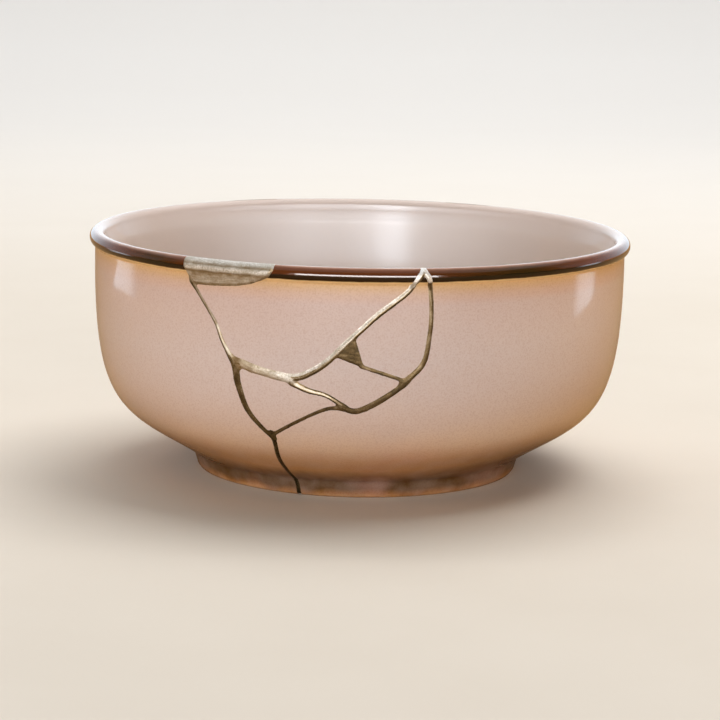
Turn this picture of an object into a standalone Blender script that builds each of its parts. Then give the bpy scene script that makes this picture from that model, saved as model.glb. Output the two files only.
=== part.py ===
"""A deep stoneware bowl, broken on one side and mended with raised silver lacquer.

The bowl is turned as one closed blank. The cracks are cut through its wall, which leaves the
large body and four loose shards. The silver repair is the same turned form, swollen a little,
kept only inside the cracks, the filled chip in the rim and the small filled triangle.
Angles run round the bowl from its front (-Y), positive towards +X. Lengths are millimetres.
"""

import math

import bmesh
import bpy
from mathutils import Matrix, Vector
from mathutils.geometry import delaunay_2d_cdt, interpolate_bezier

MM = 0.001

# Turned form
HEIGHT = 68.5
LIP_RADIUS = 2.2
LIP_CENTRE = 75.3
LIP_LOWEST_ANGLE = -62.0
WALL_TOP_OUTSIDE = (75.9, 64.3)
WALL_TOP_INSIDE = (71.7, 62.0)
WALL_BULGE_OUTSIDE = ((76.5, 14.0), (67.5, 18.5))
WALL_BULGE_INSIDE = ((69.5, 38.0), (80.0, 6.0))
FLOOR_EDGE = (12.0, 7.7)
FOOT_TOP = (47.3, 4.8)
FOOT_RADIUS = 46.0
FOOT_RING_WIDTH = 4.0
FOOT_CHAMFER = 0.6
UNDERSIDE_HEIGHT = 3.6
UNDERSIDE_RADIUS = 41.0
ROUND_STEPS = 72
WALL_STEPS = 9
LIP_STEPS = 8

# Repair
GAP = 0.3
PROUD = 0.4
REPAIR_BASE = 0.3
ABOVE_RIM = 72.0
BELOW_FOOT = -2.0
CUT_OUTER_RADIUS = 81.0
CUT_INNER_RADIUS = 61.0
CUT_FOOT_RADIUS = 41.0
CUT_FOOT_HEIGHT = 11.0
CUT_WALL_HEIGHT = 24.0
MERGE_DISTANCE = 0.02

# Cracks, each a route of (angle in degrees, height, width).
CRACKS = {
    "chip_to_left_knot": (
        (-35.3, 62.0, 0.7), (-32.5, 56.0, 0.7), (-29.5, 48.5, 0.8), (-27.2, 43.0, 1.0),
        (-25.4, 39.8, 1.6),
    ),
    "left_knot_to_centre": (
        (-26.0, 40.9, 1.8), (-24.5, 40.4, 2.1), (-19.6, 39.4, 2.2), (-16.2, 38.4, 2.1),
        (-13.0, 37.2, 1.8),
    ),
    "left_knot_to_low_knot": (
        (-25.6, 40.0, 2.0), (-25.1, 35.2, 1.8), (-23.5, 28.4, 1.6), (-20.4, 23.0, 1.4),
        (-18.4, 20.6, 1.4),
    ),
    "centre_to_rim": (
        (-14.6, 37.4, 1.6), (-11.0, 38.8, 1.5), (-6.5, 42.2, 1.9), (-0.8, 50.7, 2.0),
        (3.6, 56.2, 1.9), (8.1, 60.7, 1.8), (11.0, 65.3, 1.6), (12.6, 67.6, 1.5),
    ),
    "rim_to_right_knot": (
        (12.7, ABOVE_RIM, 1.4), (12.8, 67.2, 1.4), (14.2, 62.0, 1.2), (14.6, 56.0, 1.2),
        (14.4, 49.0, 1.3), (13.2, 42.9, 1.5), (9.1, 37.3, 1.8),
    ),
    "right_knot_to_low_centre": (
        (10.1, 38.3, 1.8), (7.6, 35.6, 2.0), (3.1, 31.8, 2.1), (-0.4, 29.9, 2.0),
        (-3.4, 31.2, 1.8),
    ),
    "triangle_to_right_knot": (
        (0.8, 42.3, 1.1), (3.9, 40.9, 1.1), (9.3, 38.0, 1.2),
    ),
    "centre_to_low_centre": (
        (-13.6, 37.3, 1.6), (-10.0, 35.3, 1.4), (-6.3, 33.7, 1.4), (-2.6, 31.0, 1.6),
    ),
    "low_centre_to_low_knot": (
        (-2.8, 30.7, 1.4), (-6.5, 30.2, 1.1), (-12.4, 26.1, 1.1), (-18.9, 21.3, 1.2),
    ),
    "low_knot_to_foot": (
        (-18.8, 22.4, 1.4), (-18.7, 18.0, 1.2), (-20.3, 11.0, 1.2), (-20.8, 6.5, 1.2),
        (-19.8, 3.0, 1.2), (-19.6, BELOW_FOOT, 1.2),
    ),
}
CRACK_STEPS = 2

# Filled places, each an outline of (angle, height).
RIM_CHIP = (
    (-37.6, ABOVE_RIM), (-37.4, 68.0), (-36.9, 65.5), (-36.2, 62.8), (-34.8, 61.4),
    (-30.0, 61.5), (-25.2, 62.0), (-22.0, 62.9), (-19.8, 64.2), (-18.3, 65.6),
    (-17.4, 67.4), (-17.2, ABOVE_RIM),
)
SMALL_TRIANGLE = ((-0.6, 50.6), (-4.9, 45.0), (1.8, 41.9))
LEFT_KNOT = ((-27.2, 42.2), (-22.6, 40.2), (-25.6, 36.4))

# The middle of each shard, as (angle, height).
SHARD_PLACES = {
    "shard_rim": (-11.0, 54.0),
    "shard_right": (8.0, 48.0),
    "shard_middle": (-2.0, 38.0),
    "shard_lower": (-16.0, 31.0),
}

# Looks
GLAZE_COLOUR = (0.62, 0.46, 0.40, 1.0)
GLAZE_ROUGHNESS = 0.28
SILVER_COLOUR = (0.56, 0.50, 0.39, 1.0)
SILVER_ROUGHNESS = 0.38


def clear_scene():
    """Remove every object of the start-up scene."""
    for thing in list(bpy.data.objects):
        bpy.data.objects.remove(thing, do_unlink=True)


def curve_points(start, handles, end, steps):
    """Points of one Bezier stretch of a profile, as (radius, height)."""
    knots = [Vector((x, y, 0.0)) for x, y in (start, *handles, end)]
    return [(p.x, p.y) for p in interpolate_bezier(*knots, steps + 1)]


def outer_wall():
    """The outer wall from just below the lip down to the top of the foot ring."""
    return curve_points(WALL_TOP_OUTSIDE, WALL_BULGE_OUTSIDE, FOOT_TOP, WALL_STEPS)


def inner_wall():
    """The inner wall from below the lip down to the flat of the floor."""
    return curve_points(WALL_TOP_INSIDE, WALL_BULGE_INSIDE, FLOOR_EDGE, WALL_STEPS)


def lip():
    """The rolled lip, from its inner side over the crest to its under side."""
    points = []
    for i in range(LIP_STEPS + 1):
        angle = math.radians(180.0 + (LIP_LOWEST_ANGLE - 180.0) * i / LIP_STEPS)
        radius = LIP_CENTRE + LIP_RADIUS * math.cos(angle)
        height = HEIGHT - LIP_RADIUS + LIP_RADIUS * math.sin(angle)
        points.append((radius, height))
    return points


def foot():
    """The foot ring and the hollow under the bowl, from outside to the axis."""
    inside = FOOT_RADIUS - FOOT_RING_WIDTH
    return [
        (FOOT_RADIUS, FOOT_CHAMFER),
        (FOOT_RADIUS - FOOT_CHAMFER, 0.0),
        (inside + FOOT_CHAMFER, 0.0),
        (inside, FOOT_CHAMFER),
        (UNDERSIDE_RADIUS, UNDERSIDE_HEIGHT),
        (0.0, UNDERSIDE_HEIGHT),
    ]


def bowl_profile():
    """Half section of the bowl: floor, inner wall, lip, outer wall and foot."""
    floor = [(0.0, FLOOR_EDGE[1])]
    return floor + inner_wall()[::-1] + lip() + outer_wall() + foot()


def swollen(profile):
    """The profile moved out of the clay by PROUD, but not above the rim or onto the ground."""
    moved = []
    last = len(profile) - 1
    for i, (radius, height) in enumerate(profile):
        before = Vector(profile[max(i - 1, 0)])
        after = Vector(profile[min(i + 1, last)])
        along = (after - before).normalized()
        new_radius = radius - along.y * PROUD
        new_height = height + along.x * PROUD
        if i in (0, last):
            new_radius = 0.0
        moved.append((new_radius, min(max(new_height, REPAIR_BASE), HEIGHT)))
    return moved


def turned(profile):
    """Spin a half section round the Z axis into a closed mesh, in millimetres."""
    bm = bmesh.new()
    ring = [bm.verts.new((radius, 0.0, height)) for radius, height in profile]
    edges = [bm.edges.new(pair) for pair in zip(ring, ring[1:])]
    bmesh.ops.spin(
        bm, geom=ring + edges, cent=(0.0, 0.0, 0.0), axis=(0.0, 0.0, 1.0),
        angle=math.tau, steps=ROUND_STEPS, use_merge=True,
    )
    bmesh.ops.remove_doubles(bm, verts=bm.verts, dist=MERGE_DISTANCE)
    bmesh.ops.recalc_face_normals(bm, faces=bm.faces)
    return bm


def wall_radius(height):
    """Outer radius of the bowl at a height, for turning widths into angles."""
    points = outer_wall()[::-1]
    for (low_radius, low), (high_radius, high) in zip(points, points[1:]):
        if low <= height <= high:
            share = (height - low) / (high - low)
            return low_radius + (high_radius - low_radius) * share
    return points[0][0] if height < points[0][1] else points[-1][0]


def smoothed(route):
    """The route with CRACK_STEPS pieces to each stretch, bent as a Catmull-Rom curve."""
    knots = [Vector(point) for point in route]
    knots = [2 * knots[0] - knots[1], *knots, 2 * knots[-1] - knots[-2]]
    points = []
    for a, b, c, d in zip(knots, knots[1:], knots[2:], knots[3:]):
        for step in range(CRACK_STEPS):
            t = step / CRACK_STEPS
            bend = (c - a) * t + (2 * a - 5 * b + 4 * c - d) * t ** 2
            bend += (3 * b - a - 3 * c + d) * t ** 3
            points.append(b + bend * 0.5)
    return points + [knots[-2]]


def crack_quads(route, grow):
    """Quads of (angle, height) along a crack, each side moved out by grow."""
    points = smoothed(route)
    sides = []
    for i, (angle, height, width) in enumerate(points):
        before = points[max(i - 1, 0)]
        after = points[min(i + 1, len(points) - 1)]
        per_degree = math.radians(1.0) * wall_radius(height)
        along = Vector(((after.x - before.x) * per_degree, after.y - before.y)).normalized()
        reach = width / 2 + grow
        across = (-along.y * reach / per_degree, along.x * reach)
        left = (angle + across[0], height + across[1])
        right = (angle - across[0], height - across[1])
        sides.append((left, right))
    return [(a[0], a[1], b[1], b[0]) for a, b in zip(sides, sides[1:])]


def grown_outline(outline, grow):
    """An outline of (angle, height) with every side moved out by grow."""
    count = len(outline)
    scale = [math.radians(1.0) * wall_radius(height) for _, height in outline]
    flat = [Vector((angle * k, height)) for (angle, height), k in zip(outline, scale)]
    turn = sum(a.x * b.y - b.x * a.y for a, b in zip(flat, flat[1:] + flat[:1]))
    sign = 1.0 if turn > 0 else -1.0
    grown = []
    for i, point in enumerate(flat):
        one = (point - flat[i - 1]).normalized()
        two = (flat[(i + 1) % count] - point).normalized()
        out_one = Vector((one.y, -one.x)) * sign
        out_two = Vector((two.y, -two.x)) * sign
        middle = (out_one + out_two) / (1.0 + out_one.dot(out_two))
        moved = point + middle * grow
        grown.append((moved.x / scale[i], moved.y))
    return grown


def repair_outlines(grow):
    """Every crack and filled place as outlines of (angle, height)."""
    outlines = []
    for route in CRACKS.values():
        outlines.extend(crack_quads(route, grow))
    for outline in (RIM_CHIP, SMALL_TRIANGLE, LEFT_KNOT):
        outlines.append(grown_outline(outline, grow))
    return outlines


def merged_sheet(outlines):
    """Overlapping outlines as one flat sheet: its points and triangles."""
    points = []
    faces = []
    for outline in outlines:
        flat = [Vector((math.radians(a) * LIP_CENTRE, h)) for a, h in outline]
        turn = sum(p.x * q.y - q.x * p.y for p, q in zip(flat, flat[1:] + flat[:1]))
        if turn < 0:
            flat.reverse()
        faces.append(list(range(len(points), len(points) + len(flat))))
        points.extend(flat)
    sheet = delaunay_2d_cdt(points, [], faces, 0, MERGE_DISTANCE)
    kept = [face for face, sources in zip(sheet[2], sheet[5]) if sources]
    return sheet[0], kept


def cut_start_radius(height):
    """Where the cuts start: inside the wall, and inside the foot ring low down."""
    share = (height - CUT_FOOT_HEIGHT) / (CUT_WALL_HEIGHT - CUT_FOOT_HEIGHT)
    share = min(max(share, 0.0), 1.0)
    return CUT_FOOT_RADIUS + (CUT_INNER_RADIUS - CUT_FOOT_RADIUS) * share


def radial_prism(outlines, grow):
    """A closed mesh that carries the merged outlines straight through the wall."""
    points, faces = merged_sheet(outlines)
    bm = bmesh.new()
    near = []
    far = []
    for point in points:
        angle = point.x / LIP_CENTRE
        way = Vector((math.sin(angle), -math.cos(angle), 0.0))
        up = Vector((0.0, 0.0, point.y))
        near.append(bm.verts.new(way * (cut_start_radius(point.y) - grow) + up))
        far.append(bm.verts.new(way * CUT_OUTER_RADIUS + up))
    used = {}
    for face in faces:
        bm.faces.new([far[i] for i in face])
        bm.faces.new([near[i] for i in reversed(face)])
        for pair in zip(face, face[1:] + face[:1]):
            used[pair] = True
    for a, b in used:
        if (b, a) not in used:
            bm.faces.new((far[b], far[a], near[a]))
            bm.faces.new((far[b], near[a], near[b]))
    loose = [vert for vert in bm.verts if not vert.link_faces]
    bmesh.ops.delete(bm, geom=loose, context="VERTS")
    bmesh.ops.recalc_face_normals(bm, faces=bm.faces)
    return bm


def in_metres(name, bm):
    """Put a millimetre bmesh into a named object of the scene, in metres."""
    bmesh.ops.transform(bm, matrix=Matrix.Scale(MM, 4), verts=bm.verts)
    mesh = bpy.data.meshes.new(name)
    bm.to_mesh(mesh)
    bm.free()
    thing = bpy.data.objects.new(name, mesh)
    bpy.context.scene.collection.objects.link(thing)
    return thing


def combined(blank_bm, cutter_bm, operation):
    """The bmesh left by an exact Boolean of the turned blank with the repair prism."""
    blank = in_metres("blank", blank_bm)
    cutter = in_metres("cutter", cutter_bm)
    cut = blank.modifiers.new("cracks", "BOOLEAN")
    cut.operation = operation
    cut.object = cutter
    bpy.context.view_layer.update()
    shaped = blank.evaluated_get(bpy.context.evaluated_depsgraph_get())
    result = bmesh.new()
    result.from_mesh(shaped.to_mesh())
    shaped.to_mesh_clear()
    bpy.data.objects.remove(cutter, do_unlink=True)
    bpy.data.objects.remove(blank, do_unlink=True)
    bmesh.ops.remove_doubles(result, verts=result.verts, dist=MERGE_DISTANCE * MM)
    bmesh.ops.dissolve_degenerate(result, edges=result.edges, dist=MERGE_DISTANCE * MM)
    return result


def islands(bm):
    """The connected solids of a bmesh, each a list of its faces."""
    waiting = set(bm.faces)
    found = []
    while waiting:
        first = min(waiting, key=lambda face: face.index)
        waiting.discard(first)
        island = [first]
        for face in island:
            for edge in face.edges:
                for other in edge.link_faces:
                    if other in waiting:
                        waiting.discard(other)
                        island.append(other)
        found.append(island)
    return found


def part_object(name, faces, material):
    """A new object of the given faces, shaded smooth except across sharp edges."""
    bm = bmesh.new()
    verts = {}
    for face in faces:
        corners = []
        for vert in face.verts:
            if vert.index not in verts:
                verts[vert.index] = bm.verts.new(vert.co)
            corners.append(verts[vert.index])
        bm.faces.new(corners)
    bmesh.ops.recalc_face_normals(bm, faces=bm.faces)
    mesh = bpy.data.meshes.new(name)
    bm.to_mesh(mesh)
    bm.free()
    mesh.materials.append(material)
    mesh.shade_smooth()
    mesh.set_sharp_from_angle(angle=math.radians(35.0))
    thing = bpy.data.objects.new(name, mesh)
    bpy.context.scene.collection.objects.link(thing)
    return thing


def plain_material(name, colour, roughness, metallic):
    """A Principled material of one colour."""
    material = bpy.data.materials.new(name)
    material.use_nodes = True
    shader = material.node_tree.nodes["Principled BSDF"]
    shader.inputs["Base Color"].default_value = colour
    shader.inputs["Roughness"].default_value = roughness
    shader.inputs["Metallic"].default_value = metallic
    material.diffuse_color = colour
    return material


def place_of(faces):
    """The mean (angle, height) of a solid's corners."""
    corners = {vert for face in faces for vert in face.verts}
    middle = sum((vert.co for vert in corners), Vector()) / len(corners)
    return math.degrees(math.atan2(middle.x, -middle.y)), middle.z / MM


def shard_name(faces):
    """The name of the shard whose place is nearest."""
    here = Vector(place_of(faces))
    return min(SHARD_PLACES, key=lambda name: (here - Vector(SHARD_PLACES[name])).length)


def make_clay():
    """The bowl's body and its four shards."""
    clay = combined(turned(bowl_profile()), radial_prism(repair_outlines(GAP), GAP), "DIFFERENCE")
    clay.faces.index_update()
    clay.verts.index_update()
    pieces = sorted(islands(clay), key=len, reverse=True)
    named = {"bowl_body": pieces[0]}
    for piece in pieces[1:]:
        named[shard_name(piece)] = piece
    for name, faces in named.items():
        glaze = plain_material(f"{name}_glaze", GLAZE_COLOUR, GLAZE_ROUGHNESS, 0.0)
        part_object(name, faces, glaze)
    clay.free()


def make_repair():
    """The silver lacquer in the cracks and filled places, one solid."""
    blank = turned(swollen(bowl_profile()))
    silver = combined(blank, radial_prism(repair_outlines(0.0), 0.0), "INTERSECT")
    silver.verts.index_update()
    metal = plain_material("silver_lacquer", SILVER_COLOUR, SILVER_ROUGHNESS, 1.0)
    part_object("silver_repair", list(silver.faces), metal)
    silver.free()


def main():
    clear_scene()
    make_clay()
    make_repair()


main()
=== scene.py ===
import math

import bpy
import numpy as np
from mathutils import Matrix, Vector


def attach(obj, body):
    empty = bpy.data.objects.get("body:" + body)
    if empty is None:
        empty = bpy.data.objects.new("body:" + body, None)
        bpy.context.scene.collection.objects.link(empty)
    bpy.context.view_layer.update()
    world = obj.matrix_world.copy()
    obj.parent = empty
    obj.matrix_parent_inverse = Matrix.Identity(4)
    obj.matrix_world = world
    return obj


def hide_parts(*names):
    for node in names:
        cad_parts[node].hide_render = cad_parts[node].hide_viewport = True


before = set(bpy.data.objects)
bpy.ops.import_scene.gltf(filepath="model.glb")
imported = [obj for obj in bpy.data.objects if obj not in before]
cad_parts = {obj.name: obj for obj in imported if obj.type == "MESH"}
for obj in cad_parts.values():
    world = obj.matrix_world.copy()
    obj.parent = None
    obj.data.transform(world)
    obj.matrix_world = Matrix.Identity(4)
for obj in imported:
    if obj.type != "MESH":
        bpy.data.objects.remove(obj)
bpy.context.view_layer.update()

# A deep pink-glazed bowl with a dark iron lip, broken on one side and mended with raised silver
# lacquer. Lengths are millimetres until a mesh is made. Angles run round the bowl from its
# front (-Y), positive towards +X. "Run" is the length along the clay's section from the crest
# of the lip: down the outside it is positive, down the inside negative.

MM = 0.001

# ---------------------------------------------------------------- turned form
CREST = 68.44
LIP_RADIUS = 2.2
LIP_CENTRE = 75.29
LIP_LOWEST_ANGLE = -62.0
LIP_POINTS = 160
WALL_TOP_OUTSIDE = (75.9, 64.3)
WALL_BULGE_OUTSIDE = ((76.5, 14.0), (67.5, 18.5))
WALL_TOP_INSIDE = (71.7, 62.0)
WALL_BULGE_INSIDE = ((69.5, 38.0), (80.0, 6.0))
FLOOR_EDGE = (12.0, 7.7)
FOOT_TOP = (47.3, 4.8)
FOOT_RADIUS = 46.0
FOOT_RING_WIDTH = 4.0
FOOT_CHAMFER = 0.6
FOOT_LEAN = 1.0        # how far the foot's inner side leans in on its way up
UNDERSIDE_HEIGHT = 3.6
FOOT_MIDDLE = FOOT_RADIUS - FOOT_RING_WIDTH / 2
NEAR_GROUND = 0.05
SECTION_STEP = 0.05
CORNER_EASE = 0.28
CLOSE = 1e-6           # heights nearer than this are the same
TRUE_CORNER = math.radians(48.0)   # edges sharper than this aren't smoothed over

# ---------------------------------------------------------------- repair
REACH = 3.0            # no crack is felt further away than this
FILLET = 0.7           # how far the silver rounds the corners where cracks meet
DOME_WIDTH = 0.8       # from a seam's edge to where its top is level
PROUD_OUTSIDE = 0.36
PROUD_INSIDE = 0.3
DULL_TONES = (0.4, 0.7)    # dull silver stands half as proud as bright; the change is here
SAG = 5                # how many rows the silver's outside has sagged over, downwards
UNDER_WIDTH = 0.32     # from a seam's lower edge to where it is at its full height
ON_CREST = 0.12        # the share of its height that the silver keeps on the crest
CREST_RUNS = (0.3, 2.0)    # the runs between which it gains the rest
FOOT_HEIGHTS = (0.8, 3.0)  # the heights between which its relief fades out downwards
TUCK = 0.12            # the silver's edge runs on under the glaze by this much
SINK = 0.04
BRIDGE = (4.3, 7.6)    # the runs between which the silver spans the crease under the lip
BRIDGE_EDGE = 0.6      # how deep inside a seam the span is whole
BASE_LIFT = 0.3        # the low seam stops this far above the ground
BASE_HEIGHT = 0.7      # and is lifted up to here
# uneven heights, each part as (height, size, seed)
WAVER = ((0.05, 0.9, 1), (0.03, 0.4, 2))
DENTS = ((1.0, 0.55, 7), (0.6, 0.3, 8))
SWELL = ((1.0, 2.2, 9),)
# uneven heights drawn out along the seams, each part as (height, length to width, size, seed)
BRUSH = ((0.5, 1.0, 0.33, 5), (1.0, 5.0, 0.27, 6))
STREAKS = ((0.10, 4.0, 0.4, 11),)
BRUSH_HEIGHT, DENT_HEIGHT, SWELL_HEIGHT = 0.030, 0.028, 0.04
SMOOTH_EDGE = 0.35     # the texture grows in from a seam's edge over this width
HAMMERED_TONES = (0.7, 0.95)
LEAST_HAMMERED = 0.35
INSIDE_TEXTURE = 0.6

CRACKS = {   # (angle, height, width) along each crack
    "chip_to_left_knot": (
        (-36.6, 64.4, 0.9), (-36.1, 62.2, 1.3), (-35.3, 60.9, 1.2), (-34.5, 59.6, 1.0),
        (-33.4, 57.7, 0.9), (-31.2, 53.9, 0.9), (-29.8, 51.2, 1.0), (-28.7, 47.6, 1.1),
        (-27.7, 45.2, 1.3), (-26.9, 43.3, 1.6), (-25.6, 41.0, 2.0),
    ),
    "left_knot_to_centre": (
        (-25.6, 41.7, 1.6), (-24.5, 41.3, 2.3), (-22.3, 40.4, 2.6), (-20.1, 39.7, 2.4),
        (-17.9, 39.1, 2.4), (-15.8, 38.6, 2.5), (-13.6, 38.1, 2.4),
    ),
    "left_knot_to_low_knot": (
        (-25.6, 41.0, 2.0), (-25.4, 38.0, 2.1), (-25.1, 35.2, 1.9), (-23.5, 28.4, 1.6),
        (-20.4, 23.0, 1.4), (-18.4, 20.6, 1.4),
    ),
    "centre_to_rim": (
        (-14.1, 38.3, 2.0), (-11.6, 38.9, 2.0), (-9.6, 40.1, 1.9), (-7.5, 41.8, 1.8),
        (-5.5, 44.0, 1.7), (-2.6, 47.95, 1.6), (0.4, 51.8, 1.55), (4.1, 56.35, 1.55),
        (7.6, 59.9, 1.5), (10.0, 62.6, 1.4), (11.3, 65.3, 1.5), (12.5, 67.7, 1.5),
    ),
    "rim_to_right_knot": (
        (12.7, 72.0, 1.4), (12.8, 68.2, 1.5), (13.8, 65.6, 1.3), (14.3, 62.6, 1.2),
        (14.6, 56.1, 1.2), (14.3, 50.0, 1.25), (13.2, 42.9, 1.5), (9.1, 37.3, 1.8),
    ),
    "right_knot_to_low_centre": (
        (10.1, 38.2, 1.6), (7.6, 35.4, 1.6), (3.1, 31.6, 1.7), (-0.4, 29.8, 1.7),
        (-3.4, 31.1, 1.7),
    ),
    "triangle_to_right_knot": (
        (0.8, 42.2, 1.0), (4.5, 40.6, 1.0), (7.9, 39.1, 1.0), (9.6, 38.2, 1.1),
    ),
    "centre_to_low_centre": (
        (-13.4, 37.1, 1.9), (-10.0, 35.15, 1.6), (-6.3, 34.0, 1.2), (-2.6, 31.0, 1.5),
    ),
    "low_centre_to_low_knot": (
        (-2.8, 30.6, 1.4), (-6.5, 30.1, 1.0), (-12.4, 26.3, 0.95), (-18.9, 21.4, 1.1),
    ),
    "low_knot_to_foot": (
        (-18.8, 22.4, 1.4), (-18.7, 18.0, 1.2), (-20.3, 11.0, 1.2), (-20.8, 6.5, 1.2),
        (-19.8, 3.0, 1.2), (-19.6, -2.0, 1.2),
    ),
}
PATCHES = {   # filled places, each an outline of (angle, height)
    "rim_chip": (
        (-37.6, 72.0), (-37.4, 68.0), (-37.0, 65.4), (-36.5, 63.4), (-35.7, 61.7),
        (-34.6, 61.3), (-30.0, 61.5), (-25.2, 62.0), (-22.0, 62.9), (-19.6, 64.2),
        (-17.7, 65.6), (-17.0, 67.2), (-17.0, 72.0),
    ),
    "small_triangle": ((-0.7, 50.3), (-4.8, 44.8), (1.3, 41.8), (0.2, 46.6)),
    "left_knot": ((-27.3, 43.8), (-22.8, 41.6), (-25.6, 38.2)),
}
# The looks of the silver are each given at even steps along a crack.
TONES = {   # how bright it is, 0 to 1
    "chip_to_left_knot": (0.48, 0.60),
    "left_knot_to_centre": (0.70, 0.82),
    "left_knot_to_low_knot": (0.26, 0.22),
    "centre_to_rim": (0.80, 0.76),
    "rim_to_right_knot": (0.38, 0.26),
    "right_knot_to_low_centre": (0.22, 0.20),
    "triangle_to_right_knot": (0.24, 0.22),
    "centre_to_low_centre": (0.74, 0.74, 0.72, 0.68, 0.20),
    "low_centre_to_low_knot": (0.24, 0.22),
    "low_knot_to_foot": (0.14, 0.06),
    "rim_chip": (0.60,),
    "small_triangle": (0.20,),
    "left_knot": (0.46,),
}
GOLD = {   # how warm it is
    "left_knot_to_centre": (1.0, 0.0), "left_knot": (0.7,), "usual": (0.0,),
}
LINED = {   # how dark the two fine lines along a seam's edges are
    "centre_to_low_centre": (0.1, 0.8, 1.0, 1.0, 0.6), "usual": (0.0,),
}
UNDER_PAINTED_SHADE = {   # painted shade: how much darker the lower flank is drawn
    "left_knot_to_centre": (0.35, 0.10), "left_knot": (0.2,), "rim_chip": (0.35,),
    "small_triangle": (0.1,), "left_knot_to_low_knot": (0.2,), "low_knot_to_foot": (0.2,),
    "right_knot_to_low_centre": (0.1,), "rim_to_right_knot": (0.2,),
    "triangle_to_right_knot": (0.2,), "low_centre_to_low_knot": (0.2,),
    "centre_to_low_centre": (0.6, 0.1), "usual": (0.75,),
}
LOOKS = {"tone": TONES, "gold": GOLD, "lined": LINED, "dark": UNDER_PAINTED_SHADE}
LOOK_PULL = 7.0        # how strongly the nearest crack decides a spot's looks, for each millimetre
LINE_WIDTH = (0.28, 0.46)
LINE_DARK = 0.92
CHIP_PAINTED_BANDS = {   # how bright the silver over the lip is, by run: painted highlight lines on the roll and painted shade lines at its creases
    -3.0: 0.80, 0.0: 0.88, 2.0: 0.82, 2.55: 0.54, 2.9: 0.80, 3.4: 0.88, 3.9: 0.72, 4.3: 0.48,
    4.7: 0.50, 5.2: 0.64, 8.0: 0.76, 9.5: 0.70,
}
BANDS_END = (9.0, 10.0)
CHIP_GOLD = 0.3
CHIP_GOLD_STARTS = (4.1, 5.0)
SEAM_LIP_TONE = 1.15   # the tone of seams where they cross the lip
SEAM_LIP_END = (4.4, 5.4)
FLANK_STEEPNESS = 2.4  # how quickly the painted shade deepens on a flank that falls downwards
FLANK_END = (0.60, 0.84)
RIDGE = (0.70, 0.92)   # between these depths painted shade darkens the middle of a wide dull seam
RIDGE_DARK = (0.5, 0.7)    # if the painted shade on its lower flank is deeper than this
SHARDS = {   # a spot in the middle of each loose shard
    "shard_rim": (-11.0, 54.0),
    "shard_right": (8.0, 48.0),
    "shard_middle": (-2.0, 38.0),
    "shard_lower": (-16.0, 31.0),
}

# ---------------------------------------------------------------- finish
# Shades are red, green and blue as they show on a screen, 0 to 255. Places across are metres
# from the bowl's middle, positive towards +X.
LIP_ROUGHNESS = 0.14
WALL_ROUGHNESS = 0.36
INSIDE_ROUGHNESS = 0.44
DRY_ROUGHNESS = 0.4    # added on the bare clay of the foot's edge
DRY_HEIGHT = 0.15      # from this height
DRY_RUN = 0.8          # to this far from the middle of the ring
# Places on the clay by run, from the crest of the lip; the first of two is where a change starts.
OUTSIDE_STARTS = (-0.05, 0.05)
GLAZE_STARTS = (5.4, 6.2)      # the speckled glaze
WALL_DULLS = (5.4, 7.0)
WALL_TAKES_OVER = (10.0, 12.0)
LIP_GLAZE_AND_PAINTED_LIGHT = {   # shades by run, crest to wall; the near black under the roll is partly painted shade, and the amber pool below is brightened by painted light
    0.0: (206, 176, 160), 0.5: (186, 146, 122), 1.0: (142, 94, 68), 1.5: (112, 62, 34),
    2.0: (100, 52, 20), 3.2: (98, 50, 18), 3.6: (40, 22, 8), 4.43: (26, 14, 3),
    4.74: (66, 36, 8), 5.06: (236, 204, 148), 5.7: (234, 202, 152), 6.4: (214, 178, 132),
    7.6: (212, 179, 146), 9.4: (213, 186, 172), 12.0: (213, 188, 180),
}
LIP_OLIVE = {   # the lip's darker olive shades, for the stretches below; near black under the roll, partly painted shade
    1.0: (134, 92, 66), 1.5: (88, 58, 34), 2.0: (66, 44, 18), 3.2: (56, 42, 18),
    3.6: (26, 22, 6),
}
OLIVE_STRETCHES = (   # where the olive starts and ends, by place across, and its share
    ((-0.066, -0.057), (-0.053, -0.044), 0.8),
    ((0.012, 0.042), (0.046, 0.062), 1.0),
)
WALL_GLAZE_AND_PAINTED_SHADE = {   # shades by height; the brown from 9.5 mm down into the crease above the foot is partly painted shade
    54.0: (212, 194, 190), 42.0: (212, 199, 198), 32.0: (211, 196, 193), 24.0: (211, 191, 181),
    17.5: (221, 194, 170), 13.5: (218, 179, 142), 9.5: (204, 157, 107), 7.0: (126, 88, 46),
    5.0: (82, 54, 24), 4.2: (84, 58, 22), 2.6: (86, 58, 18), 1.4: (138, 94, 46),
    0.2: (194, 148, 98),
}
WALL_START = {8.0: (211, 189, 184)}   # by run
# Painted shade low on the right: the shades creep upwards there, from this place across to
# that, by 0 to 6 mm.
RIGHT_SHADE_CREEP = (0.006, 0.06, 0.0, 6.0)
RIGHT_SHADE_CREEP_HEIGHTS = (9.0, 4.5)     # it ends between these heights
CLOUD_HEIGHTS = (22.0, 14.0)   # the rosy and pale clouds start between these heights
BARE_CLAY = (186, 160, 134)
INNER_GLAZE = {   # shades by run, up from the floor
    -40.0: (214, 198, 187), -10.0: (213, 197, 186), -1.0: (216, 198, 188),
    0.0: (206, 176, 160),
}
FLOOR_GLAZE = (212, 196, 184)
GLAZE_CLOUDS = {   # shade, share, where, blend, grain size, noise from and to, detail, roughness
    "rosy": ((208, 158, 150), 0.30, "low", "MIX", 24.0, 0.50, 0.70, 3.0, 0.5),
    "pale": ((228, 206, 198), 0.20, "low", "MIX", 7.0, 0.35, 0.75, 3.0, 0.5),
    "speckle": ((222, 200, 190), 0.36, "glazed", "MULTIPLY", 0.45, 0.46, 0.66, 2.0, 0.6),
    "specks": ((158, 112, 96), 0.08, "glazed", "MIX", 0.8, 0.66, 0.74, 1.0, 0.4),
}
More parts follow.
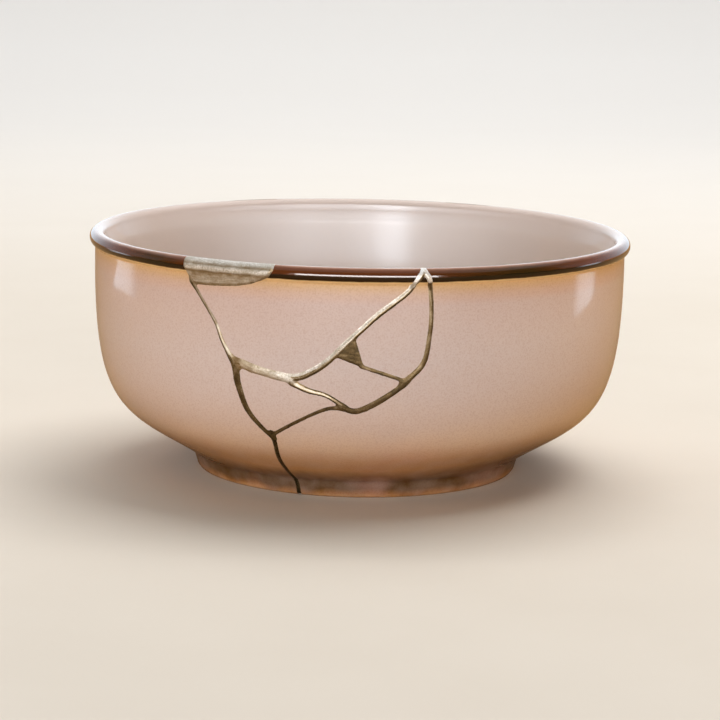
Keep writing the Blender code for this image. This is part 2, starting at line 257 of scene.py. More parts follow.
# Uneven finishes are (grain size, lowest, highest).
LIP_WAVER = (4.0, -0.09, 0.09)
WALL_DRIFT = (11.0, -0.9, 0.9)
UNEVEN_GLOSS = (3.0, -0.04, 0.04)
FINE_GRAIN = (0.35, -1.0, 1.0)
TONE_CLOUDS = (2.5, -0.08, 0.08)
SILVER_ROUGHNESS = (0.6, 0.36, 0.46)
# Changes by tone are (from this tone, to this tone, this much, this much).
GRAIN_BY_TONE = (0.72, 0.86, 0.08, 0.28)
ROUGHER_BY_TONE = (0.6, 0.8, 0.0, 0.1)
DENTS_BY_TONE = (0.6, 0.95, 0.3, 1.0)
WAVE_SIZE, WAVE_SHARE, RIPPLE_SIZE, DENT_SIZE = 5.0, 3.0, 0.7, 0.28
SILVER = {   # shades by tone
    0.0: (42, 34, 18), 0.25: (92, 74, 46), 0.5: (142, 125, 99), 0.75: (184, 176, 163),
    1.0: (218, 213, 206), 1.3: (244, 242, 238),
}
CHAMPAGNE = (255, 241, 218)

# ---------------------------------------------------------------- stage, in metres
FLOOR_FRONT = -1.2
FLOOR_BEND = 1.0       # where the table starts to curve up
FLOOR_RADIUS = 0.6
FLOOR_HALF_WIDTH = 2.2
BACKDROP_HEIGHTS = (1.2, 2.6)
FLOOR_LIGHT, FLOOR_DARK, BACKDROP_SHADE = (214, 206, 194), (208, 199, 186), (236, 234, 231)
BACKDROP_STARTS = (0.3, 1.2)
ROOM_FRONT = 0.06
ROOM_BACK = 0.95
ROOM_COLOUR = (1.0, 0.985, 0.96, 1.0)
ROOM_TURNS = (-0.15, 0.85)     # from front to back
FOLDS = {   # how high the cloth's colour reaches, by direction: from, to, height from, height to
    "right": (0.1, 0.8, 0.0, 0.75),
    "left": (-0.9, -0.2, 0.20, 0.0),
}
FOLD_EDGE = (-0.03, 0.05)
WHITE, AMBER, TAN = (1.0, 1.0, 1.0), (1.0, 0.7, 0.4), (1.0, 0.60, 0.22)
GLOW_COLOUR = (0.9, 1.0, 1.1, 1.0)
AT_BOWL = (0.0, 0.0, 0.03)
LAMPS = {   # place, target, width and height, watts, colour, what it doesn't show in
    "backdrop": ((0.0, 0.75, 1.5), (0.0, 1.6, 0.45), (2.4, 0.3), 13.5, WHITE, "glossy"),
    "window": ((0.06, -1.15, 0.14), (0.0, 0.0, 0.066), (1.25, 0.40), 25.0, WHITE, "diffuse"),
    "overhead": ((0.26, 0.30, 1.05), AT_BOWL, (1.0, 0.8), 11.3, WHITE, "glossy"),
    "key_front": ((-0.02, -1.2, 0.15), AT_BOWL, (1.0, 0.3), 7.3, WHITE, "glossy"),
    "key_right": ((0.3, -1.1, 0.5), AT_BOWL, (0.5, 0.4), 1.0, WHITE, "glossy"),
    "key_left": ((-1.05, -0.28, 0.25), AT_BOWL, (0.4, 0.4), 1.8, WHITE, "glossy"),
    "bounce_left": ((-0.5, -0.1, 0.03), AT_BOWL, (0.4, 0.05), 0.4, AMBER, "glossy"),
    "bounce_right": ((0.48, -0.08, 0.03), AT_BOWL, (0.4, 0.05), 0.6, TAN, "glossy"),
}
SIDE_WINDOWS = {   # first and last angle round the bowl, strength
    "left_window": (-132.0, -107.0, 1.8),
    "right_window": (101.0, 119.5, 2.1),
}
SIDE_WINDOW_HEIGHTS = (-0.30, 0.0)
SIDE_WINDOW_SOFT = 0.14        # the height over which its bottom fades in
SIDE_WINDOW_DISTANCE = 1.2
FAR_WALL = 1.3
FAR_WALL_DISTANCE = 1.4
CEILING = 0.45
CEILING_HEIGHT = 1.2
INNER_GLOW = {   # how bright the card for the far inner wall is, by the angle from the back
    -60.0: 0.0, -40.0: 0.15, -25.0: 0.5, -18.5: 0.65, -14.0: 0.75, -9.0: 0.7, -4.0: 0.7,
    2.0: 0.95, 6.5: 1.5, 10.0: 1.5, 14.0: 0.75, 19.0: 0.5, 26.0: 0.4, 40.0: 0.15, 60.0: 0.0,
}
INNER_GLOW_STRENGTH = 7.2
INNER_GLOW_HEIGHTS = (36.0, 65.0)   # the stretch of wall that it is mirrored in, in millimetres
INNER_GLOW_REACH = 0.10
INNER_GLOW_BOTTOM = 0.88       # how bright its bottom is next to its top
# the unseen cloth that warms the bowl from below and from the sides
CLOTH = (212, 172, 116)
CLOTH_IN_GLOSS = (150, 114, 66)
CLOTH_FAR = (196, 148, 90)
CLOTH_SHADOW = (40, 30, 14)
CLOTH_FOLDS = (   # where the cloth's painted shadow starts and ends, by place across, and how deep it is
    ((-0.14, -0.10), (-0.08, -0.05), 0.4),
    ((0.02, 0.05), (0.11, 0.15), 1.0),
)
CLOTH_EDGE = (
    (-0.35, -1.3), (0.30, -1.3), (0.30, 0.0), (0.317, 0.03), (0.338, 0.066), (0.352, 0.102),
    (0.381, 0.155), (0.6, 0.3), (0.6, 0.6), (-0.6, 0.6), (-0.6, 0.3), (-0.323, 0.206),
    (-0.349, 0.136),
)
CAMERA_AIM = Vector((0.0, 0.0, 0.035))
CAMERA_ELEVATION = math.radians(9.85)
CAMERA_DISTANCE = 0.811
CAMERA_ROLL = 1.15
CAMERA_SHIFT = (0.0028, -0.0214)
LENS, SENSOR = 140.0, 36.0

# ---------------------------------------------------------------- mesh pitch
REPAIR_SPAN = (-39.5, 16.8)
REPAIR_PITCH = 0.18
BROKEN_SPAN = (-43.0, 20.0)
BROKEN_ANGLE_STEP = 0.5
WHOLE_ANGLE_STEP = 2.4
SHARD_ANGLE_STEP = 0.34
BODY_LIP_PITCH = 0.36
BODY_WALL_PITCH = 0.8
SHARD_PITCH = 0.42
SCOUT_PITCH = 0.3
SCOUT_COLUMNS = 330
LIP_RUN = 7.0
FLOOR_RINGS = 26
UNDERSIDE_RINGS = 14
# runs given to the clay under the foot, past the end of the glaze
FOOT_INSIDE_RUN = 20.0
UNDERSIDE_RUN = 60.0


# ---------------------------------------------------------------- curves and noise
def bezier(start, first, second, end, steps=400):
    """Cubic curve: the four points weighted by (1-u)^3, 3(1-u)^2 u, 3(1-u) u^2 and u^3."""
    u = np.linspace(0.0, 1.0, steps)[:, None]
    a, b, c, d = (np.array(p, float) for p in (start, first, second, end))
    return (1 - u) ** 3 * a + 3 * (1 - u) ** 2 * u * b + 3 * (1 - u) * u ** 2 * c + u ** 3 * d


def lengths(path):
    """Length run along a path up to each of its points."""
    return np.concatenate([[0.0], np.cumsum(np.linalg.norm(np.diff(path, axis=0), axis=1))])


def evenly(path, step):
    """The same path in even steps: each coordinate interpolated against the length run."""
    run = lengths(path)
    even = np.linspace(0.0, run[-1], int(run[-1] / step) + 1)
    return np.column_stack([np.interp(even, run, column) for column in path.T])


def eased(path, reach):
    """Each point becomes the bell-weighted average of its neighbours, which rounds corners."""
    half = int(3 * reach / SECTION_STEP)
    bell = np.exp(-0.5 * (np.arange(-half, half + 1) * SECTION_STEP / reach) ** 2)
    ends = np.pad(path, ((half, half), (0, 0)), mode="reflect", reflect_type="odd")
    return np.column_stack([np.convolve(c, bell / bell.sum(), "valid") for c in ends.T])


def smooth_route(knots, pieces=8):
    """Catmull-Rom curve through the knots: on each stretch a cubic whose slope at a knot is half
    the step from the knot before it to the knot after it."""
    knots = np.array(knots, float)
    before = np.vstack([2 * knots[0] - knots[1], knots, 2 * knots[-1] - knots[-2]])
    u = np.linspace(0.0, 1.0, pieces, endpoint=False)[None, :, None]
    p0, p1, p2, p3 = (before[i:len(before) - 3 + i, None, :] for i in range(4))
    curve = 0.5 * (
        2 * p1 + (p2 - p0) * u + (2 * p0 - 5 * p1 + 4 * p2 - p3) * u ** 2
        + (3 * p1 - p0 - 3 * p2 + p3) * u ** 3
    )
    return np.vstack([curve.reshape(-1, knots.shape[1]), knots[-1]])


def eased_step(value, low, high):
    """0 below low, 1 above high, and 3x^2 - 2x^3 between them."""
    x = np.clip((value - low) / (high - low), 0.0, 1.0)
    return x * x * (3 - 2 * x)


def uneven(x, y, size, seed):
    """Smooth random heights from -1 to 1: a lattice of random numbers of that spacing, eased
    from corner to corner."""
    table = np.random.default_rng(seed).uniform(-1.0, 1.0, (251, 251))
    i, j = np.floor(x / size).astype(int), np.floor(y / size).astype(int)
    u, v = eased_step(x / size - i, 0.0, 1.0), eased_step(y / size - j, 0.0, 1.0)
    corner = [[table[(i + a) % 251, (j + b) % 251] for b in (0, 1)] for a in (0, 1)]
    near = corner[0][0] * (1 - v) + corner[0][1] * v
    far = corner[1][0] * (1 - v) + corner[1][1] * v
    return near * (1 - u) + far * u


def roughened(x, y, parts):
    """Uneven heights added up, each part with its own height, size and seed."""
    return sum(height * uneven(x, y, size, seed) for height, size, seed in parts)


def brushed(field, parts):
    """Uneven heights added up, each drawn out along the seams by its own length to width."""
    return sum(height * uneven(field["along"] / longer, field["side"], size, seed)
               for height, longer, size, seed in parts)


# ---------------------------------------------------------------- section of the bowl
def clay_section():
    """Section of the clay as (radius, height), in even steps from the middle of the floor over
    the lip and down the outside to the middle of the underside, with its corners eased."""
    turn = np.radians(np.linspace(180.0, LIP_LOWEST_ANGLE, LIP_POINTS))
    lip_height = CREST - LIP_RADIUS
    lip = np.column_stack([LIP_CENTRE + LIP_RADIUS * np.cos(turn),
                           lip_height + LIP_RADIUS * np.sin(turn)])
    inner = bezier(FLOOR_EDGE, WALL_BULGE_INSIDE[1], WALL_BULGE_INSIDE[0], WALL_TOP_INSIDE)
    outer = bezier(WALL_TOP_OUTSIDE, *WALL_BULGE_OUTSIDE, FOOT_TOP)
    foot_inside = FOOT_RADIUS - FOOT_RING_WIDTH
    foot = [
        (FOOT_RADIUS, FOOT_CHAMFER), (FOOT_RADIUS - FOOT_CHAMFER, 0.0),
        (foot_inside + FOOT_CHAMFER, 0.0), (foot_inside, FOOT_CHAMFER),
        (foot_inside - FOOT_LEAN, UNDERSIDE_HEIGHT), (0.0, UNDERSIDE_HEIGHT),
    ]
    path = np.vstack([[(0.0, FLOOR_EDGE[1])], inner, lip, outer, foot])
    return eased(evenly(path, SECTION_STEP), CORNER_EASE)


SECTION = clay_section()
SLOPE = np.gradient(SECTION, axis=0)
SLOPE /= np.linalg.norm(SLOPE, axis=1)[:, None]
FACING = np.column_stack([-SLOPE[:, 1], SLOPE[:, 0]])
TOP = int(SECTION[:, 1].argmax())
ON_GROUND = (SECTION[TOP:, 1] < NEAR_GROUND) & (SECTION[TOP:, 0] <= FOOT_MIDDLE)
FOOT_BOTTOM = TOP + int(np.argmax(ON_GROUND))

OUT = SECTION[TOP:FOOT_BOTTOM + 1]
OUT_FACING = FACING[TOP:FOOT_BOTTOM + 1]
OUT_RUN = lengths(OUT)
INN = SECTION[TOP::-1]
INN_FACING = FACING[TOP::-1]
INN_RUN = lengths(INN)


def run_of(height):
    """Run down the outside at a height; past the crest and below the foot it goes straight on."""
    height = np.asarray(height, float)
    run = np.interp(height, OUT[::-1, 1], OUT_RUN[::-1])
    run = np.where(height > CREST, CREST - height, run)
    return np.where(height < 0.0, OUT_RUN[-1] - height, run)


def outside_at(run, values):
    """Values along the outer side, read at a run."""
    return np.interp(run, OUT_RUN, values)


def inside_at(height, values):
    """Values along the inner side, read at a height."""
    return np.interp(height, INN[::-1, 1], values[::-1])


# The low crack cuts a slot in the foot ring. It ends at the radius that mirrors the foot's
# outer side in the middle of the ring, and it reaches up to where the inner side has that radius.
SLOT_RADIUS = 2 * FOOT_MIDDLE - float(outside_at(run_of(UNDERSIDE_HEIGHT), OUT[:, 0]))
SLOT_TOP = float(np.interp(SLOT_RADIUS, INN[::-1, 0], INN[::-1, 1]))


def rows(lip_pitch, wall_pitch):
    """Rows of a sheet down the outside, close together over the lip, with one row exactly at the
    underside's height and one at the top of the slot that the low crack cuts in the foot.
    Each row has its place on the outside and, at the same height, its partner on the inside."""
    run = np.concatenate([
        np.linspace(0.0, LIP_RUN, int(LIP_RUN / lip_pitch), endpoint=False),
        np.linspace(LIP_RUN, OUT_RUN[-1], int((OUT_RUN[-1] - LIP_RUN) / wall_pitch)),
    ])
    for height in (SLOT_TOP, UNDERSIDE_HEIGHT):
        exact = float(run_of(height))
        run[np.abs(run - exact).argmin()] = exact
    radius, height = outside_at(run, OUT[:, 0]), outside_at(run, OUT[:, 1])
    in_foot = height < SLOT_TOP - CLOSE
    in_radius = np.where(in_foot, SLOT_RADIUS, inside_at(height, INN[:, 0]))
    in_ring = height < UNDERSIDE_HEIGHT - CLOSE
    in_radius = np.where(in_ring, 2 * FOOT_MIDDLE - radius, in_radius)
    in_facing = np.column_stack([inside_at(height, c) for c in INN_FACING.T])
    in_facing[in_foot] = (-1.0, 0.0)
    in_run = -inside_at(height, INN_RUN)
    in_run[in_foot] = run[in_foot] + FOOT_INSIDE_RUN
    return {
        "run": run, "radius": radius, "height": height,
        "facing": np.column_stack([outside_at(run, c) for c in OUT_FACING.T]),
        "in_radius": in_radius, "in_facing": in_facing, "in_run": in_run,
    }


# ---------------------------------------------------------------- cracks as a field
def windowed(sheet, angles, low_run, high_run, low_angle, high_angle):
    """Slices of the rows and columns within reach of a stretch of crack."""
    run = sheet["run"]
    row = slice(*np.searchsorted(run, (low_run - REACH, high_run + REACH)))
    if row.start == row.stop:
        return row, slice(0, 0)
    side = REACH / sheet["radius"][row].min()
    return row, slice(*np.searchsorted(angles, (low_angle - side, high_angle + side)))


def crack_depth(route, sheet, angles):
    """How deep each spot lies inside one crack: half the crack's width less the distance to its
    middle line, on the wall rolled out flat. Also the length along the crack, the distance to
    one side and the share of the crack passed."""
    depth = np.full((len(sheet["run"]), len(angles)), -REACH)
    along, side, share = np.zeros_like(depth), np.zeros_like(depth), np.zeros_like(depth)
    course = smooth_route(route)
    bend, run, width = np.radians(course[:, 0]), run_of(course[:, 1]), course[:, 2]
    passed = 0.0
    for i in range(len(course) - 1):
        lows = min(run[i], run[i + 1]), max(run[i], run[i + 1])
        turns = min(bend[i], bend[i + 1]), max(bend[i], bend[i + 1])
        row, column = windowed(sheet, angles, *lows, *turns)
        radius = sheet["radius"][row][:, None]
        x, y = radius * (angles[column] - bend[i]), sheet["run"][row][:, None] - run[i]
        dx, dy = radius * (bend[i + 1] - bend[i]), run[i + 1] - run[i]
        span = np.hypot(dx, dy) + 1e-9
        part = np.clip((x * dx + y * dy) / span ** 2, 0.0, 1.0)
        away = np.hypot(x - part * dx, y - part * dy)
        here = (width[i] + (width[i + 1] - width[i]) * part) / 2 - away
        wins = here > depth[row, column]
        for field, value in (
            (depth, here), (along, passed + part * span), (side, (dx * y - dy * x) / span),
            (share, (i + part) / (len(course) - 1)),
        ):
            field[row, column] = np.where(wins, value, field[row, column])
        passed += float(span.mean()) if span.size else 0.0
    return depth, along, side, share


def patch_depth(outline, sheet, angles):
    """How deep each spot lies inside a filled place: the distance to its nearest side, positive
    where a line drawn from the spot crosses the outline an odd number of times."""
    depth = np.full((len(sheet["run"]), len(angles)), -REACH)
    corners = np.array(outline, float)
    bend, run = np.radians(corners[:, 0]), run_of(corners[:, 1])
    row, column = windowed(sheet, angles, run.min(), run.max(), bend.min(), bend.max())
    radius = sheet["radius"][row][:, None]
    spot_y = sheet["run"][row][:, None] + 0 * angles[column]
    nearest, odd = np.full(spot_y.shape, REACH), np.zeros(spot_y.shape, bool)
    for i in range(len(corners)):
        j = (i + 1) % len(corners)
        x, y = radius * (angles[column] - bend[i]), spot_y - run[i]
        dx, dy = radius * (bend[j] - bend[i]), run[j] - run[i]
        part = np.clip((x * dx + y * dy) / (dx * dx + dy * dy + 1e-12), 0.0, 1.0)
        nearest = np.minimum(nearest, np.hypot(x - part * dx, y - part * dy))
        crosses = (spot_y > run[i]) != (spot_y > run[j])
        odd ^= crosses & (x < dx * y / (dy if dy else 1.0))
    depth[row, column] = np.where(odd, nearest, -nearest)
    return depth


def blended(first, second, reach):
    """The larger of two depths, with the corner between them filled over the given reach."""
    close = np.clip(1.0 - np.abs(first - second) / reach, 0.0, 1.0)
    close = np.where(np.maximum(first, second) > -1.0, close, 0.0)
    return np.maximum(first, second) + close ** 2 * reach / 4


def graded(share, values):
    """Values given at even steps along a crack, read at a share of its length."""
    return np.interp(share, np.linspace(0.0, 1.0, len(values)), values)


def repair_field(sheet, angles):
    """The whole repair on one sheet: depth inside it, the length along the nearest crack and the
    distance to its side, and the silver's looks, in which each crack counts by
    exp(pull x depth)."""
    shape = (len(sheet["run"]), len(angles))
    depth, nearest = np.full(shape, -REACH), np.full(shape, -REACH)
    along, side, filled = np.zeros(shape), np.zeros(shape), np.zeros(shape)
    weight, looks = np.full(shape, 1e-9), {look: np.zeros(shape) for look in LOOKS}
    x = sheet["radius"][:, None] * angles
    y = sheet["run"][:, None] + 0 * angles
    for name in (*CRACKS, *PATCHES):
        if name in CRACKS:
            here, run, across, share = crack_depth(CRACKS[name], sheet, angles)
        else:
            here = patch_depth(PATCHES[name], sheet, angles)
            run, across, share = x, y, 0.5 + 0 * x
        wins = here > nearest
        nearest = np.maximum(nearest, here)
        along, side = np.where(wins, run, along), np.where(wins, across, side)
        depth = blended(depth, here, FILLET)
        pull = np.exp(LOOK_PULL * np.clip(here, -1.5, 1.5))
        weight += pull
        for look, known in LOOKS.items():
            looks[look] += pull * graded(share, known[name if name in known else "usual"])
        if name in PATCHES:
            filled += pull
    # dark is the depth of the painted shade on a seam's lower flank
    tone, gold, dark, lined = (looks[look] / weight for look in ("tone", "gold", "dark", "lined"))
    filled /= weight
    over_lip = filled * (1.0 - eased_step(y, *BANDS_END))
    painted_bands = np.interp(y, list(CHIP_PAINTED_BANDS), list(CHIP_PAINTED_BANDS.values()))
    on_lip = (1.0 - filled) * (1.0 - eased_step(y, *SEAM_LIP_END))
    tone = tone + on_lip * (SEAM_LIP_TONE - tone)
    return {
        "depth": depth, "along": along, "side": side, "x": x, "y": y,
        "tone": tone + over_lip * (painted_bands - tone),
        "gold": gold + over_lip * (CHIP_GOLD * eased_step(y, *CHIP_GOLD_STARTS) - gold),
        "dark": dark, "lined": np.clip(lined, 0.0, 1.0),
    }


# ---------------------------------------------------------------- lattices and cutting
def spots(radius, height, angles):
    """Every row at every angle: (radius sin a, -radius cos a, height)."""
    radius, height = np.atleast_1d(radius), np.atleast_1d(height)
    if radius.ndim == 1:
        radius, height = radius[:, None] + 0 * angles, height[:, None] + 0 * angles
    place = np.stack([radius * np.sin(angles), -radius * np.cos(angles), height], axis=-1)
    return place.reshape(-1, 3)


def numbering(row_count, columns, joined):
    """Numbers of the points of a front sheet and of the sheet behind it. The two share their
    points in the rows that are joined."""
    number = np.arange(row_count * columns).reshape(row_count, columns)
    behind = number + number.size
    behind[joined] = number[joined]
    return number, behind


def lattice(number, closed=False):
    """Two triangles for each cell of a numbered grid, facing away from the axis when the rows
    run down the outside; a closed lattice joins its last column to its first."""
    right = np.roll(number, -1, axis=1) if closed else number[:, 1:]
    left = number if closed else number[:, :-1]
    a, b, c, d = left[:-1], left[1:], right[1:], right[:-1]
    return np.concatenate([
        np.stack([a, b, c], -1).reshape(-1, 3), np.stack([a, c, d], -1).reshape(-1, 3),
    ])


def whole(triangles):
    """The triangles less those that have the same point at two corners."""
    return triangles[(triangles != np.roll(triangles, 1, axis=1)).all(axis=1)]


def cut(triangles, level):
    """Cuts triangles along the line where the level is nought. A triangle with one corner on its
    own side of the line becomes a tip and a base; new points lie on the cut edges, one for each
    edge. Returns the triangles above and those below, each with the triangle it came from, the
    new points' edges, and the line's pieces, which run so that a wall can be hung from them."""
    count = len(level)
    high = level > 0
    above = high[triangles].sum(axis=1)
    mixed_sides = (above == 1) | (above == 2)
    corner = triangles[mixed_sides]
    one_high = above[mixed_sides] == 1
    odd = (high[corner] == one_high[:, None]).argmax(axis=1)
    turned = corner[np.arange(len(corner))[:, None], (odd[:, None] + np.arange(3)) % 3]
    tip, left, right = turned.T
    keys = np.concatenate([
        np.minimum(tip, left) * count + np.maximum(tip, left),
        np.minimum(tip, right) * count + np.maximum(tip, right),
    ])
    edges, place = np.unique(keys, return_inverse=True)
    first, second = count + place[:len(tip)], count + place[len(tip):]
    source = np.flatnonzero(mixed_sides)
    tips = np.stack([tip, first, second], -1)
    bases = np.stack([np.stack([first, left, right], -1), np.stack([first, right, second], -1)], 1)

    def side_of(corners_high, tip_here):
        """The uncut triangles, tips and bases of one side, and where each comes from."""
        return (
            np.concatenate([triangles[above == corners_high], tips[tip_here],
                            bases[~tip_here].reshape(-1, 3)]),
            np.concatenate([np.flatnonzero(above == corners_high), source[tip_here],
                            np.repeat(source[~tip_here], 2)]),
        )

    return {
        "above": side_of(3, one_high), "below": side_of(0, ~one_high),
        "edges": (edges // count, edges % count), "keys": edges,
        "line": np.where(one_high[:, None], np.stack([first, second], -1),
                         np.stack([second, first], -1)),
        "line_source": source,
    }


def carved(points, notes, level, triangles, keep, walled, twin):
    """A closed piece cut out of sheets, as its points, notes and faces. keep says for each
    triangle whether what is above the line stays (1), what is below it (-1) or both (0). Walls
    run from the line on the walled triangles to the same line on the sheet behind, where each
    point's partner is its twin."""
    count = len(points)
    made = cut(triangles, level)
    (first, second), keys = made["edges"], made["keys"]
    share = (level[first] / (level[first] - level[second]))[:, None]
    points = np.vstack([points, points[first] * (1 - share) + points[second] * share])
    notes = np.vstack([notes, notes[first] * (1 - share) + notes[second] * share])
    high, high_from = made["above"]
    low, low_from = made["below"]
    a, b = twin[first], twin[second]
    behind = count + np.searchsorted(keys, np.minimum(a, b) * count + np.maximum(a, b))
    behind = np.concatenate([twin, behind])
    start, end = made["line"][walled[made["line_source"]]].T
    wall = np.concatenate([
        np.stack([end, start, behind[start]], -1),
        np.stack([end, behind[start], behind[end]], -1),
    ])
    faces = whole(np.concatenate([high[keep[high_from] >= 0], low[keep[low_from] <= 0], wall]))
    used, faces = np.unique(faces, return_inverse=True)
    return points[used], notes[used], faces.reshape(-1, 3)


def placed(name, data):
    """An object at the origin that holds a mesh, a lamp or a camera."""
    thing = bpy.data.objects.new(name, data)
    bpy.context.scene.collection.objects.link(thing)
    return thing


def as_object(name, points, notes, faces, note_names):
    """A mesh object in metres, smooth but for its true corners, with its notes kept as
    attributes."""
    mesh = bpy.data.meshes.new(name)
    mesh.vertices.add(len(points))
    mesh.vertices.foreach_set("co", (points * MM).astype(np.float32).ravel())
    mesh.loops.add(faces.size)
    mesh.loops.foreach_set("vertex_index", faces.astype(np.int32).ravel())
    mesh.polygons.add(len(faces))
    mesh.polygons.foreach_set("loop_start", np.arange(0, faces.size, 3, dtype=np.int32))
    mesh.update(calc_edges=True)
    mesh.validate()
    mesh.polygons.foreach_set("use_smooth", np.ones(len(mesh.polygons), bool))
    mesh.set_sharp_from_angle(angle=TRUE_CORNER)
    for column, note in enumerate(note_names):
        mark = mesh.attributes.new(note, "FLOAT", "POINT")
        mark.data.foreach_set("value", notes[:, column].astype(np.float32))
    return placed(name, mesh)


def shell(name, points, notes, note_names, level, number, behind):
    """A closed piece cut out of a front sheet and the sheet behind it, kept where the level is
    above nought."""
    front = lattice(number)
    triangles = np.vstack([front, lattice(behind)[:, ::-1]])
    walled = np.arange(len(triangles)) < len(front)
    twin = np.concatenate([behind.ravel(), np.arange(number.size, 2 * number.size)])
    keep = np.ones(len(triangles), int)
    made = carved(points, notes, np.tile(level.ravel(), 2), triangles, keep, walled, twin)
    return as_object(name, *made, note_names)


# ---------------------------------------------------------------- silver repair
def shifted(values, rows_down):
    """The values moved down the wall by some rows, the first row repeated."""
    return np.vstack([np.repeat(values[:1], rows_down, axis=0), values[:len(values) - rows_down]])


def softened(values):
    """The values averaged over a few rows and columns."""
    for axis in (0, 1):
        values = np.mean([np.roll(values, step, axis) for step in range(-2, 3)], axis=0)
    return values


def rounded(depth, width):
    """A rounded shoulder, 1 - (1 - s)^2 with s the share of its width."""
    return 1.0 - (1.0 - np.clip(depth / width, 0.0, 1.0)) ** 2


def repair_texture(field, depth):
    """The silver's fine relief: brush ridges along each seam, small hammered dents and a slow
    swell, which grow in from the seam's edge."""
    x, y = field["x"], field["y"]
    hammer = eased_step(field["tone"], *HAMMERED_TONES)
    hammer = LEAST_HAMMERED + (1.0 - LEAST_HAMMERED) * hammer
    fine = BRUSH_HEIGHT * brushed(field, BRUSH) + DENT_HEIGHT * roughened(x, y, DENTS)
    swell = SWELL_HEIGHT * roughened(x, y, SWELL)
    return eased_step(depth, 0.0, SMOOTH_EDGE) * (hammer * fine + swell)


def repair_relief(field, sheet, depth):
    """Height of the silver over the glaze, outside and inside: a rounded shoulder up to a level
    top, lower over the crest, with the texture on it. Outside it has sagged, so that its upper
    flank is gentle and its lower flank steep, and it fades out at the foot. Past its edge it
    sinks under the glaze."""
    dome = rounded(depth, DOME_WIDTH)
    sagged = np.mean([shifted(dome, rows_down) for rows_down in range(SAG)], axis=0)
    sagged *= rounded(depth, UNDER_WIDTH)
    texture = repair_texture(field, depth)
    over_crest = ON_CREST + (1.0 - ON_CREST) * eased_step(sheet["run"], *CREST_RUNS)[:, None]
    on_wall = eased_step(sheet["height"], *FOOT_HEIGHTS)[:, None]
    proud = PROUD_OUTSIDE * (0.5 + 0.5 * eased_step(field["tone"], *DULL_TONES))
    skirt = SINK * np.clip(-depth / TUCK, 0.0, 1.0)
    outside = over_crest * on_wall * (proud * sagged + texture) - skirt
    inside = over_crest * (PROUD_INSIDE * dome + INSIDE_TEXTURE * texture) - skirt
    return outside, np.where((sheet["height"] < SLOT_TOP)[:, None], 0.0, inside)


def bridged(sheet):
    """How far the silver's middle stands off the clay where it spans the crease under the lip:
    it takes the straight way between two runs instead of following the hollow."""
    run = sheet["run"]
    ends = np.array(BRIDGE)
    share = eased_step(run, *BRIDGE) * 0.5 + np.clip((run - ends[0]) / np.ptp(ends), 0, 1) * 0.5
    inside = ((run > ends[0]) & (run < ends[1]))[:, None]
    offsets = []
    for values in (sheet["radius"], sheet["height"]):
        first, last = np.interp(ends, run, values)
        offsets.append(np.where(inside, (first + (last - first) * share - values)[:, None], 0.0))
    return offsets


def repair_tone(field, depth):
    """How bright the silver is: streaked along the seams, with painted shade on flanks that fall
    downwards and along the middle of wide dull seams, and dark on the fine lines along lined
    seams."""
    fall = -FLANK_STEEPNESS * np.gradient(softened(field["depth"]), REPAIR_PITCH, axis=0)
    flank = np.clip(fall, 0.0, 1.0) * (1.0 - eased_step(depth, *FLANK_END))
    ridge_shade = eased_step(depth, *RIDGE) * eased_step(field["dark"], *RIDGE_DARK)
    tone = field["tone"] + brushed(field, STREAKS)
    tone = tone * (1.0 - field["dark"] * np.maximum(flank, ridge_shade))
    line = field["lined"] * (1.0 - eased_step(depth, *LINE_WIDTH))
    return tone * (1.0 - LINE_DARK * line)


def make_repair():
    """The silver as one closed piece: an outer and an inner sheet over the whole repair, kept
    where the depth field is above nought, joined over the crest, under the foot and by walls
    through the clay."""
    sheet = rows(REPAIR_PITCH, REPAIR_PITCH)
    low, high = np.radians(REPAIR_SPAN)
    angles = np.linspace(low, high, int((high - low) * LIP_CENTRE / REPAIR_PITCH))
    field = repair_field(sheet, angles)
    depth = field["depth"] + roughened(field["x"], field["y"], WAVER)
    outside, inside = repair_relief(field, sheet, depth)
    lift = BASE_LIFT * (1 - eased_step(sheet["height"], 0.0, BASE_HEIGHT))[:, None]
    bridge = eased_step(depth, 0.0, BRIDGE_EDGE)
    over_x, over_z = bridged(sheet)
    clay_radius, clay_height, clay_in_radius = (
        sheet[key][:, None] for key in ("radius", "height", "in_radius"))
    radius = clay_radius + outside * sheet["facing"][:, :1] + bridge * over_x
    height = clay_height + outside * sheet["facing"][:, 1:] + bridge * over_z + lift
    in_radius = clay_in_radius + inside * sheet["in_facing"][:, :1]
    in_height = clay_height + inside * sheet["in_facing"][:, 1:] + lift
    in_height[0], in_radius[0] = height[0], radius[0]
    points = np.vstack([spots(radius, height, angles), spots(in_radius, in_height, angles)])
    notes = np.stack([repair_tone(field, depth), field["gold"]], -1).reshape(-1, 2)
    return shell("silver_repair_piece", points, np.vstack([notes, notes]), ("tone", "gold"),
                 depth + TUCK, *numbering(*radius.shape, [0, -1]))


# ---------------------------------------------------------------- clay
def spread(stain):
    """The stain and its four neighbours on the grid."""
    wide = stain.copy()
    wide[1:] |= stain[:-1]
    wide[:-1] |= stain[1:]
    wide[:, 1:] |= stain[:, :-1]
    wide[:, :-1] |= stain[:, 1:]
    return wide


def shard_map(sheet, angles, depth):
    """Which shard each spot belongs to, found by letting a stain spread from the shard's middle
    over the clay until the cracks stop it, and then two steps into them; 0 is the body."""
    clay = depth < 0
    owner = np.zeros(depth.shape, int)
    for index, (angle, height) in enumerate(SHARDS.values(), start=1):
        stain = np.zeros(depth.shape, bool)
        row = np.abs(sheet["run"] - run_of(height)).argmin()
        stain[row, np.abs(angles - math.radians(angle)).argmin()] = True
        size = 0
        while stain.sum() != size:
            size = stain.sum()
            for _ in range(12):
                stain = spread(stain) & clay
        owner[spread(spread(stain))] = index
    return owner


